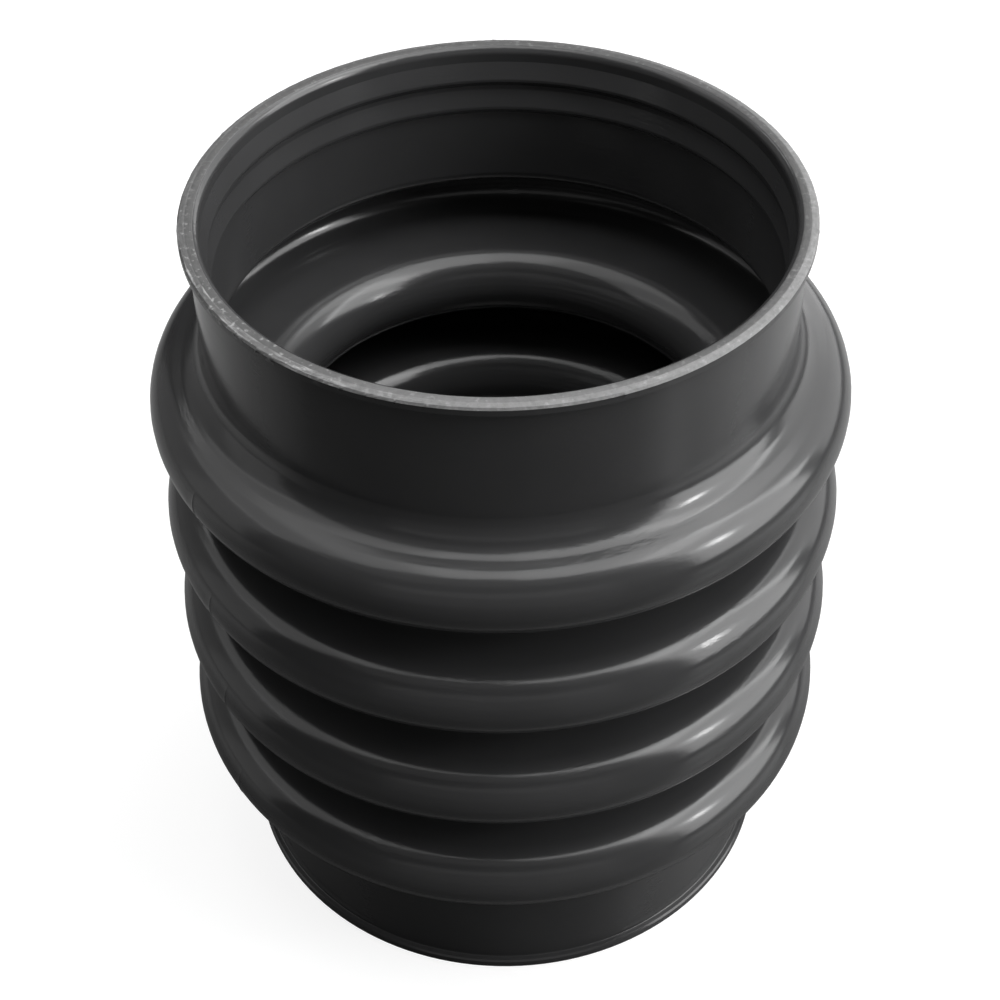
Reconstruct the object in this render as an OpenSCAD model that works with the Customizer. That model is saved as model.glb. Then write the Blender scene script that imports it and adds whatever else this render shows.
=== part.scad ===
// Rubber bellows boot: one moulded piece, with a plain cuff at each end and deep round folds between them.
// It stands on its lower end face, with the origin at that face's centre and +Z up the axis.
// Both ends are alike, so the boot can be fitted either way up.

/* [Folds] */
// Number of folds between the cuffs
folds = 4; // [2:1:8]
// Height from one crown to the next
fold_pitch = 39; // [38:0.5:60]
// Outside diameter over the crowns
crown_d = 199; // [190:1:230]
// Outside radius of a crown's round
crown_r = 11; // [7:0.5:11]
// Outside diameter at the foot of a valley
valley_d = 129; // [110:1:134]
// Outside radius of a valley's round
valley_r = 8; // [5:0.5:8]

/* [Cuffs] */
// Outside diameter of a cuff
cuff_d = 166; // [160:1:172]
// Height from an end face to the middle of the nearest crown
cuff_h = 57.5; // [45:0.5:90]
// Slope of the shoulder between a cuff and its crown, in degrees from level
shoulder_slope = 17; // [8:1:30]
// Outside radius of the corner between a cuff and its shoulder
shoulder_r = 9.5; // [3:0.5:10]

/* [Wall] */
// Thickness of the rubber
wall = 3.6; // [2.5:0.1:5]

/* [End beads] */
// How far the bead round an end stands out from its cuff
bead_out = 2; // [1:0.1:4]
// Height of the bead
bead_h = 3.2; // [2:0.1:6]
// Bevel on the bead's two edges
bead_bevel = 0.5; // [0.2:0.1:0.9]
// Width of the lead-in bevel inside the mouth
mouth_bevel = 0.5; // [0.2:0.1:1]
// Depth of the lead-in bevel inside the mouth
mouth_bevel_h = 2.3; // [1:0.1:4]

/* [Sealing ribs] */
// Number of ribs inside each cuff
ribs = 2; // [1:1:3]
// How far a rib stands in from the cuff's inside wall
rib_in = 1.5; // [0.5:0.1:2.5]
// Height from the end face to the start of the first rib
rib_start = 4.7; // [4.2:0.1:8]
// Height from one rib to the next
rib_pitch = 9.3; // [9:0.1:12]
// Length of a rib's gentle slope, on the mouth's side
rib_ramp = 5.2; // [3:0.1:5.5]
// Width of the flat crest of a rib
rib_land = 0.8; // [0.4:0.1:1]
// Length of a rib's steep slope, on the fold's side
rib_back = 2; // [1:0.1:2.5]

/* [Hidden] */
$fn = 128;
rubber = [0.15, 0.15, 0.155];

cuff_r = cuff_d / 2;
bore_r = cuff_r - wall;
boot_h = 2 * cuff_h + (folds - 1) * fold_pitch;
// Each round is drawn this much too large, so that it crosses the lines that it joins
bite = 0.002;
// How far the hollow runs past an end face, so that it opens there
past = 5;

// The half outline is drawn as [distance from the axis, height].
// Centres of the rounds: crown i, the valley above crown i, and the corner under the lowest shoulder
function crown_at(i) = [crown_d / 2 - crown_r, cuff_h + i * fold_pitch];
function valley_at(i) = [valley_d / 2 + valley_r, cuff_h + (i + 0.5) * fold_pitch];
// How far out of the crown's middle the corner's middle is. Where they are so far apart that the two rounds
// would run past each other, the shoulder is steeper than asked, by spare_slope more than would let them touch
corner_out = cuff_r + shoulder_r - crown_at(0).x;
spare_slope = 1;
slope = max(shoulder_slope, asin(corner_out / (crown_r + shoulder_r)) + spare_slope);
corner_at = [
    cuff_r + shoulder_r,
    cuff_h - (crown_r + shoulder_r - corner_out * sin(slope)) / cos(slope)
];

// A flank touches a crown's round and a valley's round. This is the angle of its outward normal, up from level
flank_run = valley_at(0) - crown_at(0);
flank_angle = atan2(flank_run.y, flank_run.x) - acos((crown_r + valley_r) / norm(flank_run));
flank = [cos(flank_angle), sin(flank_angle)];
shoulder = [sin(slope), cos(slope)];

function flipped(v) = [v.x, -v.y];
function from_top(v) = [v.x, boot_h - v.y];

// Bottom end of the outline, from run below the end face up to where the shoulder meets the lowest crown.
// grow is 0 for the outside and -wall for the inside
function end_points(grow, run) = [
    [cuff_r + grow, -run],
    [cuff_r + grow, corner_at.y],
    corner_at - (shoulder_r - grow) * flipped(shoulder),
    crown_at(0) + (crown_r + grow) * flipped(shoulder)
];

// Where the two flanks of the valley above crown i touch the rounds
function valley_points(i, grow) = [
    crown_at(i) + (crown_r + grow) * flank,
    valley_at(i) - (valley_r - grow) * flank,
    valley_at(i) - (valley_r - grow) * flipped(flank),
    crown_at(i + 1) + (crown_r + grow) * flipped(flank)
];

function reversed(list) = [for (i = [len(list) - 1 : -1 : 0]) list[i]];

module round_at(centre, r) {
    translate(centre) circle(r = r + bite);
}

// Half outline filled from the axis out, run longer than the boot at both ends
module filled(grow, run) {
    lower = end_points(grow, run);
    upper = [for (p = reversed(lower)) from_top(p)];
    middle = [for (i = [0 : folds - 2]) each valley_points(i, grow)];
    difference() {
        union() {
            polygon(concat([[0, -run]], lower, middle, upper, [[0, boot_h + run]]));
            for (i = [0 : folds - 1]) round_at(crown_at(i), crown_r + grow);
        }
        for (i = [0 : folds - 2]) round_at(valley_at(i), valley_r - grow);
        at_both_ends() round_at(corner_at, shoulder_r - grow);
    }
}

module at_both_ends() {
    children();
    translate([0, boot_h]) mirror([0, 1]) children();
}

// Bead round an end, beveled at both edges and sunk into the wall
module end_bead() {
    r = cuff_r + bead_out;
    polygon([
        [cuff_r - wall / 2, 0], [r - bead_bevel, 0], [r, bead_bevel],
        [r, bead_h - bead_bevel], [r - bead_bevel, bead_h], [cuff_r - wall / 2, bead_h]
    ]);
}

// Ribs inside a cuff, each with a gentle slope towards the mouth and a steep one behind its crest.
// Both slopes run on into the wall by half a rib
module seal_ribs() {
    crest_r = bore_r - rib_in;
    root_r = bore_r + rib_in / 2;
    for (i = [0 : ribs - 1]) translate([0, rib_start + rib_ramp + i * rib_pitch]) polygon([
        [root_r, -1.5 * rib_ramp], [root_r, rib_land + 1.5 * rib_back],
        [crest_r, rib_land], [crest_r, 0]
    ]);
}

// What the lead-in bevel takes off the inside edge of the mouth
module mouth_cut() {
    grow = mouth_bevel / mouth_bevel_h;
    polygon([
        [0, -past], [bore_r + mouth_bevel + past * grow, -past],
        [bore_r, mouth_bevel_h], [0, mouth_bevel_h]
    ]);
}

module section() {
    difference() {
        filled(0, 0);
        filled(-wall, past);
        at_both_ends() mouth_cut();
    }
    at_both_ends() {
        end_bead();
        seal_ribs();
    }
}

module bellows_boot() {
    color(rubber) rotate_extrude() section();
}

bellows_boot();
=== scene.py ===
"""Looks of the rubber bellows boot: black moulded rubber with trimmed ends, in the light of a room."""
import math

import bpy
import numpy as np
from mathutils import Matrix, Vector, noise


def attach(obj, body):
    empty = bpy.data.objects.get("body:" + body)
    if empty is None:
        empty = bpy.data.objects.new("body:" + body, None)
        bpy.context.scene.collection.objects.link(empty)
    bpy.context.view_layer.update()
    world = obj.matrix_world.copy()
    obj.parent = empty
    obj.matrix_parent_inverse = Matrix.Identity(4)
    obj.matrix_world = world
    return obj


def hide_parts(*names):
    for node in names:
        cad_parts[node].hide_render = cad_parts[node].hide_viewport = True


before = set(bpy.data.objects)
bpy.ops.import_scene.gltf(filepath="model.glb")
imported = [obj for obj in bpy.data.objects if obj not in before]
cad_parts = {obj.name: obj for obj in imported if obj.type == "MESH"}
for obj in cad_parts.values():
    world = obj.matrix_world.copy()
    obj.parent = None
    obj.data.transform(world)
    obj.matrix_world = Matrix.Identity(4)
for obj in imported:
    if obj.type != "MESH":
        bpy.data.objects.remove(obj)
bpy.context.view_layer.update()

MM = 0.001

# Sizes of the boot in millimetres, as the frame has them
FOLDS = 4
FOLD_PITCH = 39.0
CROWN_R = 99.5          # outside radius over the crowns
CROWN_ROUND = 11.0
VALLEY_R = 64.5         # outside radius at the foot of a valley
VALLEY_ROUND = 8.0
CUFF_R = 83.0
CUFF_H = 57.5           # from an end face to the middle of the nearest crown
SHOULDER_SLOPE = 17.0   # degrees from level
SHOULDER_ROUND = 9.5
WALL = 3.6
BEAD_R = 85.0
BEAD_H = 3.2
BEAD_BEVEL = 0.5
RIBS = 2
RIB_IN = 1.5
RIB_START = 4.7
RIB_PITCH = 9.3
RIB_RAMP = 5.2
RIB_LAND = 0.8
RIB_BACK = 2.0
BORE_R = CUFF_R - WALL
BOOT_H = 2 * CUFF_H + (FOLDS - 1) * FOLD_PITCH

# Rounds that the frame lacks or draws otherwise, in millimetres
CORNER_INSIDE = 5.0     # between cuff and shoulder, on the inside
MOUTH_ROUND = 2.4       # inside the mouth, in the place of a lead-in bevel
TRIM_EDGE = 0.12        # on the edges of the bead
BEAD_FOOT = 0.4
RIB_EDGE = 0.4

# How finely the surface is divided
COLUMNS = 144
FINE = 6                # columns of the trimmed top for each column of the rest
ARC_STEP = 9.0          # degrees
EDGE_STEP = 22.5        # degrees, on the small rounds of the edges
EDGE_ROUND = 1.0        # millimetres, more than the radius of any small round
LINE_STEP = 5.0         # millimetres
FACE_STEP = 0.36        # millimetres, across the trimmed top
PROBE = 0.15            # millimetres to each side of a point, where its slope is felt

# Slow waves of the moulded wall, in millimetres
WAVES = 26
WAVE_LENGTHS = (16, 60)
WAVE_SLOPE = 0.0011     # steepest slope of each wave
WAVE_FADE = (0.5, 8)    # distances from an end between which the waves come in

# Parting line of the mould: a low ridge on the outermost line of each crown, in millimetres
PARTING = (34.4, 214.4)     # where it is, in degrees round the axis from +X
PARTING_COLUMNS = (-0.34, -0.16, 0.0, 0.16, 0.34)   # columns of vertices on it, in degrees
PARTING_CLEAR = 0.15        # degrees that the even columns keep off them
PARTING_RIDGE = 0.13
PARTING_WIDTH = 0.35
PARTING_REACH = 2.0         # how far in from the outermost line the ridge still shows
PARTING_FULL = 0.3          # how far in it has its full height

# The trimmed top face, in millimetres
TOP_FACE = BOOT_H - 0.01    # what is higher than this lies on the face
TOP_EDGE = 0.9              # how far the fine division runs down from the face and in past the cut
CUT_R = 81.0                # radius at which the cut begins, on the round inside the mouth
CUT_DEPTH = 0.6             # how far down the edges the cut shows
CUT_LEVEL = 0.5             # how much a cut surface at least faces up or down, where 1 is level
BAND_R = 82.9               # radius at which the smooth inner band meets the torn outer one
BAND_GROOVE = 0.07
GROOVE_WIDTH = 0.22
BAND_FALL = 0.22            # how steeply the outer band falls away outwards
TORN_EDGE = (BAND_R - 0.1, BAND_R + 0.3)    # radii between which the torn grain comes in
TORN_GRAIN = 0.05
CUT_GRAIN = 0.02
GRAIN_RUN = 3.0             # how much longer the grain is round the axis than across
GRAIN_SCALES = (1.3, 2.7)   # coarse and fine grain, in waves a millimetre
FINE_GRAIN = 0.6            # how high the fine grain is beside the coarse
NIB_RUN = (196.0, 254.0)    # stretch of the outer edge that has most of the nibs, in degrees
NIBS = 16
STRAY_NIBS = 9
NIB_HEIGHTS = (0.15, 0.45)
NIB_WIDTHS = (0.35, 0.8)
NIB_INSET = 0.2             # how far in and down from the corner of the bead a nib is highest
NIB_FADE = 0.4              # how far it reaches from there

# What the trim attribute says of a vertex
SKIN = 0.0
SMOOTH_CUT = 0.5
TORN_CUT = 1.0

# Metres that stand for a radian round the axis in the rubber's marks: the larger, the shorter the marks
TURNED_RUN = 0.012
SCORED_RUN = 0.025

# The photograph's camera: its place in metres, its turns in degrees, and its focal length in pixels
CAMERA_AT = (0.0, -0.42659, 0.52286)
CAMERA_TILT = 43.1572
CAMERA_PAN = -0.0937
CAMERA_ROLL = -0.9497
FOCAL_PX = 1918.99
IMAGE_PX = 1000
SENSOR = 36.0           # millimetres


def way(degrees):
    return np.array([math.cos(math.radians(degrees)), math.sin(math.radians(degrees))])


# The half outline is a belt, in [distance from the axis, height], round signed circles that it touches.
# A positive radius has its middle in the rubber, and a negative one has it in the air.
def round_at(centre, radius):
    return {"at": np.array(centre, float), "radius": radius, "edge": 0}


def edge_at(x, z, edge):
    return {"at": np.array([x, z], float), "radius": 0, "edge": edge}


def crown_at(i):
    return CROWN_R - CROWN_ROUND, CUFF_H + i * FOLD_PITCH


def valley_at(i):
    return VALLEY_R + VALLEY_ROUND, CUFF_H + (i + 0.5) * FOLD_PITCH


def corner_at(wall_r, corner, crown):
    """Middle of the round between a cuff's wall and the shoulder. corner and crown are radii of rounds."""
    slope = math.radians(SHOULDER_SLOPE)
    x = wall_r + corner
    drop = crown + corner - (x - crown_at(0)[0]) * math.sin(slope)
    return x, CUFF_H - drop / math.cos(slope)


def from_top(stations):
    """The stations of the lower end, turned over for the upper end."""
    return [dict(s, at=np.array([s["at"][0], BOOT_H - s["at"][1]])) for s in reversed(stations)]


def folds(grow):
    """Crowns and valleys from bottom to top. grow is 0 for the outside and WALL for the inside."""
    stations = []
    for i in range(FOLDS):
        stations.append(round_at(crown_at(i), CROWN_ROUND - grow))
        if i < FOLDS - 1:
            stations.append(round_at(valley_at(i), -(VALLEY_ROUND + grow)))
    return stations


def outside():
    end = [
        edge_at(BEAD_R - BEAD_BEVEL, 0, TRIM_EDGE),
        edge_at(BEAD_R, BEAD_BEVEL, TRIM_EDGE),
        edge_at(BEAD_R, BEAD_H - BEAD_BEVEL, TRIM_EDGE),
        edge_at(BEAD_R - BEAD_BEVEL, BEAD_H, TRIM_EDGE),
        edge_at(CUFF_R, BEAD_H, BEAD_FOOT),
        round_at(corner_at(CUFF_R, SHOULDER_ROUND, CROWN_ROUND), -SHOULDER_ROUND),
    ]
    return end + folds(0) + from_top(end)


def inside():
    """The inside from top to bottom. It is drawn like the outside, and then its rounds change sign."""
    end = [round_at((BORE_R + MOUTH_ROUND, MOUTH_ROUND), -MOUTH_ROUND)]
    for i in range(RIBS):
        start = RIB_START + i * RIB_PITCH
        crest = start + RIB_RAMP
        end.append(edge_at(BORE_R, start, RIB_EDGE))
        end.append(edge_at(BORE_R - RIB_IN, crest, RIB_EDGE))
        end.append(edge_at(BORE_R - RIB_IN, crest + RIB_LAND, RIB_EDGE))
        end.append(edge_at(BORE_R, crest + RIB_LAND + RIB_BACK, RIB_EDGE))
    end.append(round_at(corner_at(BORE_R, CORNER_INSIDE, CROWN_ROUND - WALL), -CORNER_INSIDE))
    stations = end + folds(WALL) + from_top(end)
    return [dict(s, radius=-s["radius"]) for s in reversed(stations)]


def facings(stations):
    """The way that the surface faces on the straight stretch after each station."""
    found = []
    for here, there in zip(stations, stations[1:] + stations[:1]):
        run = there["at"] - here["at"]
        length = np.linalg.norm(run)
        along = run / length
        share = (here["radius"] - there["radius"]) / length
        found.append(share * along + math.sqrt(1 - share ** 2) * np.array([along[1], -along[0]]))
    return found


def turn_between(before, after):
    """Signed angle in degrees from one way to the other."""
    return math.degrees(math.atan2(before[0] * after[1] - before[1] * after[0], before @ after))


def rounded(stations):
    """The stations with a small circle in the place of each sharp edge."""
    ways = facings(stations)
    done = []
    for i, station in enumerate(stations):
        before, after = ways[i - 1], ways[i]
        radius = math.copysign(station["edge"], turn_between(before, after))
        if station["edge"]:
            station = round_at(station["at"] - radius * (before + after) / (1 + before @ after), radius)
        done.append(station)
    return done


def outline():
    """Points of the closed half outline, and the way that the surface faces at each."""
    stations = rounded(outside() + inside())
    ways = facings(stations)
    points, normals = [], []
    for i, station in enumerate(stations):
        before, after = ways[i - 1], ways[i]
        turn = turn_between(before, after)
        start = math.degrees(math.atan2(before[1], before[0]))
        step = EDGE_STEP if abs(station["radius"]) < EDGE_ROUND else ARC_STEP
        steps = max(2, math.ceil(abs(turn) / step))
        for k in range(steps + 1):
            normal = way(start + turn * k / steps)
            points.append(station["at"] + station["radius"] * normal)
            normals.append(normal)
        following = stations[(i + 1) % len(stations)]
        leave = points[-1]
        arrive = following["at"] + following["radius"] * after
        step = FACE_STEP if min(leave[1], arrive[1]) > TOP_FACE else LINE_STEP
        steps = math.ceil(np.linalg.norm(arrive - leave) / step)
        for k in range(1, steps):
            points.append(leave + (arrive - leave) * k / steps)
            normals.append(after)
    return np.array(points), np.array(normals)


def azimuths():
    """Columns round the axis, in degrees, closer together at the parting line."""
    even = [360 * i / COLUMNS for i in range(COLUMNS)]
    reach = max(PARTING_COLUMNS) + PARTING_CLEAR
    clear = [a for a in even if min(abs(a - p) for p in PARTING) > reach]
    return np.array(sorted(clear + [p + d for p in PARTING for d in PARTING_COLUMNS]))


def split_evenly(angles, parts):
    """Every gap between two columns divided into so many parts."""
    following = np.append(angles[1:], angles[0] + 360)
    shares = np.arange(parts) / parts
    return (angles[:, None] + (following - angles)[:, None] * shares).ravel()


def smooth_step(x, low, high):
    t = np.clip((x - low) / (high - low), 0, 1)
    return t * t * (3 - 2 * t)


def bell(distance, width):
    return np.exp(-(distance / width) ** 2)


def polar(points):
    """How far the points are from the axis, and their angles round it in degrees."""
    return np.hypot(points[:, 0], points[:, 1]), np.degrees(np.arctan2(points[:, 1], points[:, 0]))


def arc_from(place, radius, angle):
    """How far round the axis points are from a place that is given in degrees."""
    return np.radians((angle - place + 180) % 360 - 180) * radius


def grain_at(place):
    coarse, fine = (noise.noise(Vector(place) * scale) for scale in GRAIN_SCALES)
    return coarse + FINE_GRAIN * fine


class Unevenness:
    """How far the real surface stands off the drawn one, in millimetres, along its normal."""

    def __init__(self, seed=7):
        random = np.random.default_rng(seed)
        lengths = random.uniform(*WAVE_LENGTHS, WAVES)
        ways = random.normal(size=(WAVES, 3))
        ways /= np.linalg.norm(ways, axis=1)[:, None]
        self.waves = ways * (2 * math.pi / lengths)[:, None]
        self.wave_heights = WAVE_SLOPE * lengths / (2 * math.pi)
        self.wave_starts = random.uniform(0, 2 * math.pi, WAVES)
        run = random.uniform(*NIB_RUN, NIBS)
        stray = random.uniform(0, 360, STRAY_NIBS)
        self.nibs = np.concatenate([run, stray])
        self.nib_heights = random.uniform(*NIB_HEIGHTS, len(self.nibs))
        self.nib_widths = random.uniform(*NIB_WIDTHS, len(self.nibs))

    def moulding(self, points):
        """Slow waves of a moulded wall, which fade out towards the trimmed ends."""
        waves = np.sin(points @ self.waves.T + self.wave_starts) @ self.wave_heights
        from_end = np.minimum(points[:, 2], BOOT_H - points[:, 2])
        return waves * smooth_step(from_end, *WAVE_FADE)

    def parting(self, points):
        """The ridge that the two halves of the mould leave on the outside."""
        radius, angle = polar(points)
        ridge = np.zeros(len(points))
        for place in PARTING:
            ridge += PARTING_RIDGE * bell(arc_from(place, radius, angle), PARTING_WIDTH)
        return ridge * smooth_step(radius, CROWN_R - PARTING_REACH, CROWN_R - PARTING_FULL)

    def trimming(self, points):
        """Grain of the trimmed top face: fine inside, torn outside, with a groove between."""
        radius, angle = polar(points)
        run = np.radians(angle % 360) * BEAD_R / GRAIN_RUN
        grain = np.array([grain_at(place) for place in np.stack([radius, run, np.zeros_like(run)], 1)])
        rough = CUT_GRAIN + (TORN_GRAIN - CUT_GRAIN) * smooth_step(radius, *TORN_EDGE)
        return rough * grain - BAND_GROOVE * bell(radius - BAND_R, GROOVE_WIDTH)

    def nibs_on_edge(self, points):
        """Scraps that the trimming knife left on the outer edge of the top."""
        radius, angle = polar(points)
        from_edge = np.hypot(radius - (BEAD_R - NIB_INSET), points[:, 2] - (BOOT_H - NIB_INSET))
        rise = np.zeros(len(points))
        for place, tall, wide in zip(self.nibs, self.nib_heights, self.nib_widths):
            rise += tall * bell(arc_from(place, radius, angle), wide)
        return rise * bell(from_edge, NIB_FADE)


def height(points, part, uneven):
    rise = uneven.moulding(points)
    if part == "outside":
        rise = rise + uneven.parting(points)
    if part == "top":
        rise = rise + uneven.trimming(points) + uneven.nibs_on_edge(points)
    return rise


def ring(point, normal, angles, part, uneven):
    """One row of vertices round the axis, in millimetres, and the way that the surface faces at each."""
    turn = np.radians(angles)
    out = np.stack([np.cos(turn), np.sin(turn), np.zeros_like(turn)], 1)
    around = np.stack([-np.sin(turn), np.cos(turn), np.zeros_like(turn)], 1)
    up = np.array([0, 0, 1.0])
    base = out * point[0] + up * point[1]
    drawn = out * normal[0] + up * normal[1]
    along = out * -normal[1] + up * normal[0]
    place = base + drawn * height(base, part, uneven)[:, None]
    facing = drawn
    for side in (around, along):
        gain = height(base + side * PROBE, part, uneven) - height(base - side * PROBE, part, uneven)
        facing = facing - side * (gain / (2 * PROBE))[:, None]
    if part == "top" and point[0] > BAND_R:
        place = place - up * BAND_FALL * (point[0] - BAND_R)
        facing = facing + out * BAND_FALL * normal[1]
    return place, facing / np.linalg.norm(facing, axis=1)[:, None]


def part_of(point, on_outside):
    """The part of the surface that a row of the outline is on."""
    if point[1] > BOOT_H - TOP_EDGE and point[0] > CUT_R - TOP_EDGE:
        return "top"
    return "outside" if on_outside else "inside"


def trimmed(point, normal):
    """What the trim attribute says of a row of the outline."""
    from_end = min(point[1], BOOT_H - point[1])
    if abs(normal[1]) < CUT_LEVEL or from_end > CUT_DEPTH or point[0] < CUT_R:
        return SKIN
    return TORN_CUT if point[0] > BAND_R else SMOOTH_CUT


def strip_faces(lower, upper):
    """Faces between two rows of vertex numbers, of which one may have several times the other's columns."""
    count = min(len(lower), len(upper))
    faces = []
    if len(lower) == len(upper):
        for j in range(count):
            k = (j + 1) % count
            faces.append((lower[j], lower[k], upper[k], upper[j]))
        return faces
    parts = max(len(lower), len(upper)) // count
    coarse, fine = (lower, upper) if len(lower) == count else (upper, lower)
    half = parts // 2
    for j in range(count):
        a, b = coarse[j], coarse[(j + 1) % count]
        run = [fine[(j * parts + k) % len(fine)] for k in range(parts + 1)]
        fan = [(run[k + 1], run[k], a if k < half else b) for k in range(parts)]
        fan.append((a, b, run[half]))
        faces += fan if coarse is lower else [tuple(reversed(f)) for f in fan]
    return faces


def boot_mesh():
    points, normals = outline()
    outside_end = max(i for i, p in enumerate(points) if p[1] > TOP_FACE and p[0] > BAND_R)
    uneven = Unevenness()
    coarse = azimuths()
    fine = split_evenly(coarse, FINE)
    rows, places, slopes, trim = [], [], [], []
    count = 0
    for i, (point, normal) in enumerate(zip(points, normals)):
        part = part_of(point, i <= outside_end)
        angles = fine if part == "top" else coarse
        place, facing = ring(point, normal, angles, part, uneven)
        rows.append(list(range(count, count + len(angles))))
        count += len(angles)
        places.append(place)
        slopes.append(facing)
        trim.append(np.full(len(angles), trimmed(point, normal)))
    faces = []
    for lower, upper in zip(rows, rows[1:] + rows[:1]):
        faces += strip_faces(lower, upper)
    mesh = bpy.data.meshes.new("boot")
    mesh.from_pydata((np.concatenate(places) * MM).tolist(), [], faces)
    mesh.polygons.foreach_set("use_smooth", [True] * len(mesh.polygons))
    attribute = mesh.attributes.new("trim", "FLOAT", "POINT")
    attribute.data.foreach_set("value", np.concatenate(trim).astype(np.float32))
    mesh.normals_split_custom_set_from_vertices(np.concatenate(slopes).tolist())
    mesh.validate()
    return mesh


class Nodes:
    """Short ways to add shader nodes to the tree of a material or a world, which is emptied first."""

    def __init__(self, owner):
        owner.use_nodes = True
        self.tree = owner.node_tree
        self.tree.nodes.clear()

    def add(self, kind, inputs=None, **settings):
        node = self.tree.nodes.new(kind)
        for name, value in settings.items():
            setattr(node, name, value)
        for name, value in (inputs or {}).items():
            if isinstance(value, bpy.types.NodeSocket):
                self.tree.links.new(value, node.inputs[name])
            else:
                node.inputs[name].default_value = value
        return node

    def place(self):
        return self.add("ShaderNodeTexCoord").outputs["Object"]

    def split(self, place):
        parts = self.add("ShaderNodeSeparateXYZ", {0: place})
        return parts.outputs["X"], parts.outputs["Y"], parts.outputs["Z"]

    def noise(self, place, scale, detail=3.0, roughness=0.5):
        """Noise of so many waves a metre."""
        inputs = {"Vector": place, "Scale": scale, "Detail": detail, "Roughness": roughness}
        return self.add("ShaderNodeTexNoise", inputs).outputs["Fac"]

    def map(self, value, low, high, to_low, to_high):
        inputs = {"Value": value, "From Min": low, "From Max": high, "To Min": to_low, "To Max": to_high}
        return self.add("ShaderNodeMapRange", inputs).outputs["Result"]

    def rise(self, value, low, high):
        """0 up to low, and 1 from high on."""
        return self.map(value, low, high, 0.0, 1.0)

    def fall(self, value, low, high):
        """1 up to low, and 0 from high on."""
        return self.map(value, low, high, 1.0, 0.0)

    def math(self, operation, a, b=0.0):
        return self.add("ShaderNodeMath", {0: a, 1: b}, operation=operation).outputs[0]

    def dot(self, a, b):
        """Two pairs multiplied one by one, and the results added."""
        first = self.math("MULTIPLY", a[0], b[0])
        second = self.math("MULTIPLY", a[1], b[1])
        return self.math("ADD", first, second)

    def mix(self, share, a, b):
        """Between two numbers, which are a mix node's inputs 2 and 3."""
        return self.add("ShaderNodeMix", {0: share, 2: a, 3: b}, data_type="FLOAT").outputs[0]

    def mix_colour(self, share, a, b):
        """Between two colours, which are a mix node's inputs 6 and 7."""
        return self.add("ShaderNodeMix", {0: share, 6: a, 7: b}, data_type="RGBA").outputs[2]

    def mix_shaders(self, share, a, b):
        inputs = {0: share, 1: a.outputs[0], 2: b.outputs[0]}
        return self.add("ShaderNodeMixShader", inputs).outputs[0]

    def grey(self, level):
        return self.add("ShaderNodeCombineColor", {0: level, 1: level, 2: level}).outputs[0]

    def bump(self, height, strength, distance, normal=None):
        """Relief so many metres high. normal is what comes out of the relief under it."""
        inputs = {"Height": height, "Strength": strength, "Distance": distance}
        if normal is not None:
            inputs["Normal"] = normal
        return self.add("ShaderNodeBump", inputs).outputs[0]


def grey(level, tint=1.0):
    return (level, level, level * tint, 1.0)


def round_axis(n, place, run):
    """Distance from the axis, height, and a slow way round, for marks that run round the boot."""
    x, y, z = n.split(place)
    distance = n.math("SQRT", n.dot((x, y), (x, y)))
    slow = n.math("MULTIPLY", n.math("ARCTAN2", y, x), run)
    return n.add("ShaderNodeCombineXYZ", {0: distance, 1: z, 2: slow}).outputs[0]


def skin_colour(n, place):
    """Black, with faint cloudiness."""
    dark = grey(0.043, tint=1.02)
    light = grey(0.051, tint=1.02)
    cloud = n.noise(place, 28.0, detail=4.0)
    return n.mix_colour(n.rise(cloud, 0.35, 0.7), dark, light)


def cut_colour(n, place, streaks, trim):
    """Greyer than the skin: an inner band, and a paler outer one with light tears, and flecks on both; each
    has painted light, paler towards the front or a side.
    """
    # Levels of grey, each as it mostly is and as it is at its palest, where painted light makes it paler
    inner_greys_with_painted_light = (0.08, 0.15)      # palest in front
    outer_greys_with_painted_light = (0.11, 0.19)      # palest in front to the right
    tear_greys_with_painted_light = (0.05, 0.3)        # palest in front to the left
    fleck_greys_with_painted_light = (0.06, 0.2)       # palest in front to the left
    patch_shares = (0.8, 1.2)

    x, y, _ = n.split(place)
    # Masks of painted light: the cut is painted paler in front, in front to the right and in front to the
    # left, standing in for how the room's light falls on it
    front = n.fall(y, -0.082, -0.066)
    right = n.rise(n.dot((x, y), (0.8, -0.6)), -0.03, 0.05)
    left = n.fall(n.dot((x, y), (0.86, 0.5)), -0.078, -0.068)
    tears = n.math("MULTIPLY", n.rise(streaks, 0.52, 0.62), n.rise(n.noise(place, 60.0), 0.4, 0.6))
    flecks = n.rise(n.noise(place, 650.0, detail=2.0), 0.58, 0.7)
    patches = n.map(n.noise(place, 500.0, detail=4.0, roughness=0.7), 0.3, 0.7, *patch_shares)

    inner = n.mix(front, *inner_greys_with_painted_light)
    outer = n.math("ADD", n.mix(right, *outer_greys_with_painted_light), n.math("MULTIPLY", tears, n.mix(left, *tear_greys_with_painted_light)))
    level = n.mix(n.rise(trim, 0.6, 0.9), inner, outer)
    level = n.math("ADD", level, n.math("MULTIPLY", flecks, n.mix(left, *fleck_greys_with_painted_light)))
    return n.grey(n.math("MULTIPLY", level, patches))


def relief(n, place, along, streaks, cut):
    """Relief finer than the mesh: turning marks of the mould, scores, grain, and the tears of the cuts."""
    turned = n.noise(along, 420.0, detail=2.0)
    scored = n.noise(round_axis(n, place, SCORED_RUN), 1100.0, detail=2.0)
    patches = n.rise(n.noise(place, 32.0, detail=2.0), 0.5, 0.62)
    grain = n.noise(place, 700.0, detail=4.0, roughness=0.6)
    tears = n.math("MULTIPLY", streaks, cut)
    normal = n.bump(turned, strength=1.0, distance=0.00003)
    normal = n.bump(scored, strength=patches, distance=0.00006, normal=normal)
    normal = n.bump(grain, strength=0.05, distance=0.0002, normal=normal)
    return n.bump(tears, strength=0.5, distance=0.0003, normal=normal)


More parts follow.
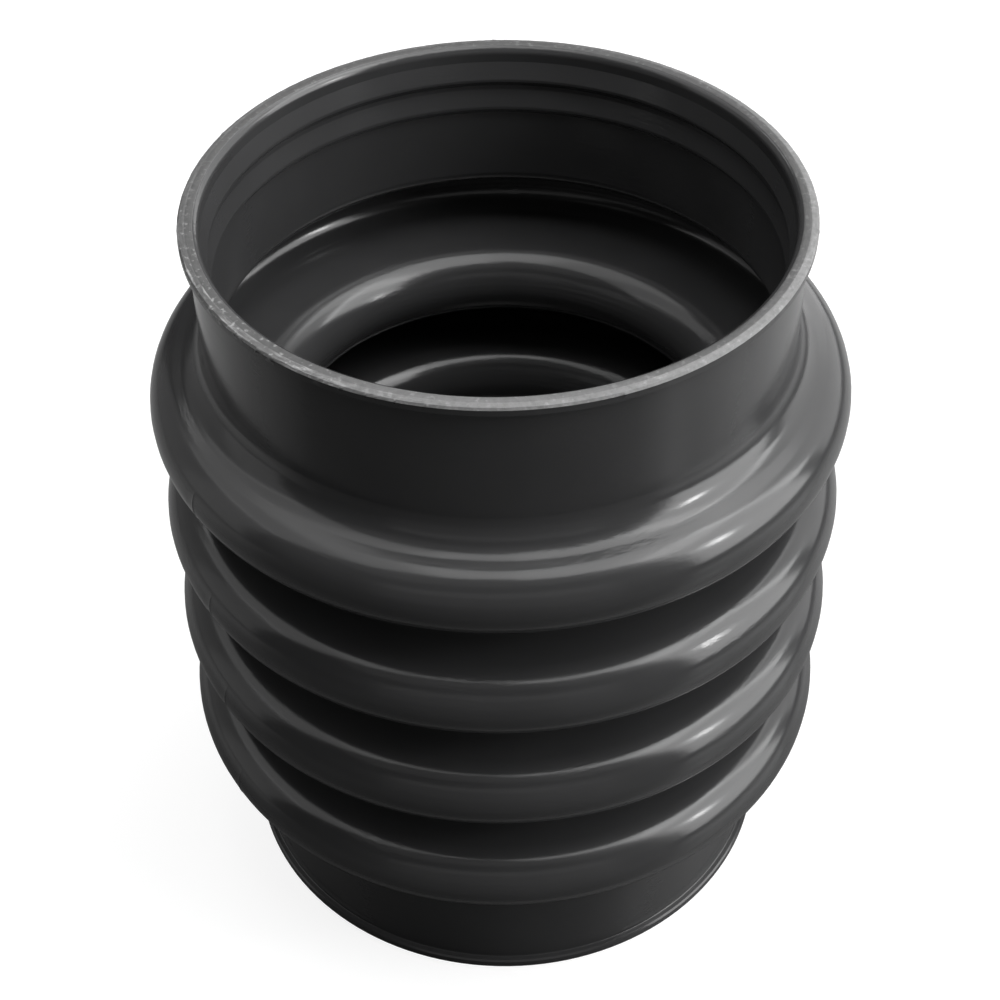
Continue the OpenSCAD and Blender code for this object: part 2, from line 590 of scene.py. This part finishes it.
def rubber_material():
    """A black skin whose soft gloss changes slowly, and dull, greyer cuts."""
    material = bpy.data.materials.new("black_rubber")
    n = Nodes(material)
    place = n.place()
    along = round_axis(n, place, TURNED_RUN)
    streaks = n.noise(along, 700.0, detail=3.0, roughness=0.6)
    trim = n.add("ShaderNodeAttribute", attribute_name="trim").outputs["Fac"]
    cut = n.rise(trim, 0.1, 0.4)
    slow = n.noise(place, 45.0, detail=5.0, roughness=0.6)
    glossy = n.map(slow, 0.3, 0.7, to_low=0.15, to_high=0.21)
    dull = n.map(streaks, 0.3, 0.7, to_low=0.45, to_high=0.65)
    shader = n.add("ShaderNodeBsdfPrincipled", {
        "Base Color": n.mix_colour(cut, skin_colour(n, place), cut_colour(n, place, streaks, trim)),
        "Roughness": n.mix(cut, glossy, dull),
        "Specular IOR Level": 0.61,
        "Normal": relief(n, place, along, streaks, cut),
    })
    n.add("ShaderNodeOutputMaterial", {"Surface": shader.outputs[0]})
    return material


def make_boot():
    boot = bpy.data.objects.new("boot", boot_mesh())
    bpy.context.scene.collection.objects.link(boot)
    boot.data.materials.append(rubber_material())
    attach(boot, "root")
    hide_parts("bellows_boot")


def make_camera():
    tilt, pan, roll = (math.radians(a) for a in (CAMERA_TILT, CAMERA_PAN, CAMERA_ROLL))
    forward = Vector((math.sin(pan) * math.cos(tilt), math.cos(pan) * math.cos(tilt), -math.sin(tilt)))
    level = forward.cross(Vector((0, 0, 1))).normalized()
    upright = level.cross(forward)
    right = level * math.cos(roll) + upright * math.sin(roll)
    up = upright * math.cos(roll) - level * math.sin(roll)
    turned = Matrix((right, up, -forward)).transposed().to_4x4()
    data = bpy.data.cameras.new("camera")
    data.sensor_width = SENSOR
    data.lens = FOCAL_PX / IMAGE_PX * SENSOR
    camera = bpy.data.objects.new("camera", data)
    camera.matrix_world = Matrix.Translation(CAMERA_AT) @ turned
    bpy.context.scene.collection.objects.link(camera)
    bpy.context.scene.camera = camera


def backdrop_ray(n):
    """1 for rays that the camera sees, straight or through glass, and 0 for those that light the boot."""
    path = n.add("ShaderNodeLightPath")
    return n.math("MAXIMUM", path.outputs["Is Camera Ray"], path.outputs["Is Transmission Ray"])


def floor_material():
    """Pale to the camera. To the boot it is the dark, glossy floor of a room, with painted light that makes
    it less dark behind and to the sides.
    """
    near_glow, far_glow = 0.84, 1.0
    # Greys of the floor that the boot mirrors: painted shade in front, and painted light behind and to the
    # sides
    front_grey_painted_shade, back_grey_painted_light = 0.07, 0.33
    material = bpy.data.materials.new("floor")
    n = Nodes(material)
    x, y, _ = n.split(n.place())
    distance_squared = n.dot((x, y), (x, y))
    # Mask of the painted light on the mirrored floor: low in front, rising behind and to the sides
    behind = n.math("ADD", n.math("MULTIPLY", n.math("ABSOLUTE", x), 0.6), y)
    pale = n.add("ShaderNodeBsdfDiffuse", {"Color": grey(0.3)})
    strength = n.map(distance_squared, 0.2, 1.5, near_glow, far_glow)
    glow = n.add("ShaderNodeEmission", {"Color": grey(1.0), "Strength": strength})
    seen = n.add("ShaderNodeAddShader", {0: pale.outputs[0], 1: glow.outputs[0]})
    dark = n.grey(n.map(behind, 0.05, 0.3, front_grey_painted_shade, back_grey_painted_light))
    mirrored = n.add("ShaderNodeBsdfPrincipled", {"Base Color": dark, "Roughness": 0.28})
    n.add("ShaderNodeOutputMaterial", {"Surface": n.mix_shaders(backdrop_ray(n), mirrored, seen)})
    return material


def make_floor(half=6.0):
    corners = [(-half, -half, 0), (half, -half, 0), (half, half, 0), (-half, half, 0)]
    mesh = bpy.data.meshes.new("floor")
    mesh.from_pydata(corners, [], [(0, 1, 2, 3)])
    mesh.materials.append(floor_material())
    floor = bpy.data.objects.new("floor", mesh)
    bpy.context.scene.collection.objects.link(floor)


def make_world():
    """White to the camera, and to the boot the dim rest of a room."""
    world = bpy.data.worlds.new("world")
    bpy.context.scene.world = world
    n = Nodes(world)
    room = n.add("ShaderNodeBackground", {"Color": grey(1.0), "Strength": 0.02})
    white = n.add("ShaderNodeBackground", {"Color": grey(1.0), "Strength": 1.0})
    n.add("ShaderNodeOutputWorld", {"Surface": n.mix_shaders(backdrop_ray(n), room, white)})


def make_panel(name, centre, facing, size, radiance):
    """A soft rectangular lamp. size is its width and height, and radiance is how bright it looks."""
    data = bpy.data.lights.new(name, "AREA")
    data.shape = "RECTANGLE"
    data.size, data.size_y = size
    data.energy = radiance * math.pi * size[0] * size[1]
    lamp = bpy.data.objects.new(name, data)
    lamp.location = centre
    lamp.rotation_euler = Vector(facing).to_track_quat("-Z", "Y").to_euler()
    lamp.visible_camera = False
    bpy.context.scene.collection.objects.link(lamp)


def make_lights():
    """Windows in the wall to the right, a ceiling brighter towards them, and the room's dim walls."""
    right_x = 1.2
    left_x = -1.7
    front_y = -2.0
    back_y = 2.2
    ceiling_z = 1.7
    leftwards = (-1, 0, 0)
    rightwards = (1, 0, 0)
    forwards = (0, -1, 0)
    backwards = (0, 1, 0)
    down = (0, 0, -1)
    make_panel("window_near", (right_x, -0.35, 1.39), leftwards, (0.99, 2.42), 3.8)
    make_panel("window_far", (right_x, 1.02, 1.40), leftwards, (1.37, 2.40), 1.5)
    make_panel("window_end", (right_x, 2.20, 1.40), leftwards, (1.0, 2.40), 2.0)
    make_panel("window_post", (right_x, 0.243, 1.65), leftwards, (0.19, 1.90), 6.2)
    make_panel("glint", (1.04, -0.44, 0.80), (-0.8, 0.34, -0.5), (0.12, 0.18), 22.0)
    make_panel("ceiling_over_window", (1.0, 0.25, ceiling_z), down, (0.4, 1.7), 1.6)
    make_panel("ceiling_a", (0.65, 0.15, ceiling_z), down, (0.3, 1.5), 3.3)
    make_panel("ceiling_b", (0.275, 0.15, ceiling_z), down, (0.45, 1.5), 2.8)
    make_panel("ceiling_c", (-0.15, 0.2, ceiling_z), down, (0.4, 1.4), 2.2)
    make_panel("ceiling_d", (-0.625, 0.2, ceiling_z), down, (0.55, 1.4), 1.3)
    make_panel("ceiling_e", (-1.45, 0.4, ceiling_z), down, (1.1, 1.8), 0.82)
    make_panel("ceiling_back", (-0.7, 1.6, ceiling_z), down, (1.3, 1.0), 2.0)
    make_panel("ceiling_front", (-0.05, -0.9, ceiling_z), down, (2.5, 0.5), 0.17)
    make_panel("wall_back", (0.7, back_y, 0.9), forwards, (1.0, 1.6), 0.3)
    make_panel("wall_left_far", (left_x, 1.1, 0.85), rightwards, (1.4, 1.6), 0.26)
    make_panel("wall_left", (left_x, 0.0, 0.85), rightwards, (0.8, 1.6), 0.47)
    make_panel("wall_front_high", (-0.1, front_y, 1.3), backwards, (2.8, 0.6), 0.22)
    make_panel("wall_front_low", (-0.1, front_y, 0.5), backwards, (2.8, 1.0), 0.1)


make_camera()
make_floor()
make_world()
make_lights()
make_boot()
bpy.context.scene.view_settings.view_transform = "Standard"
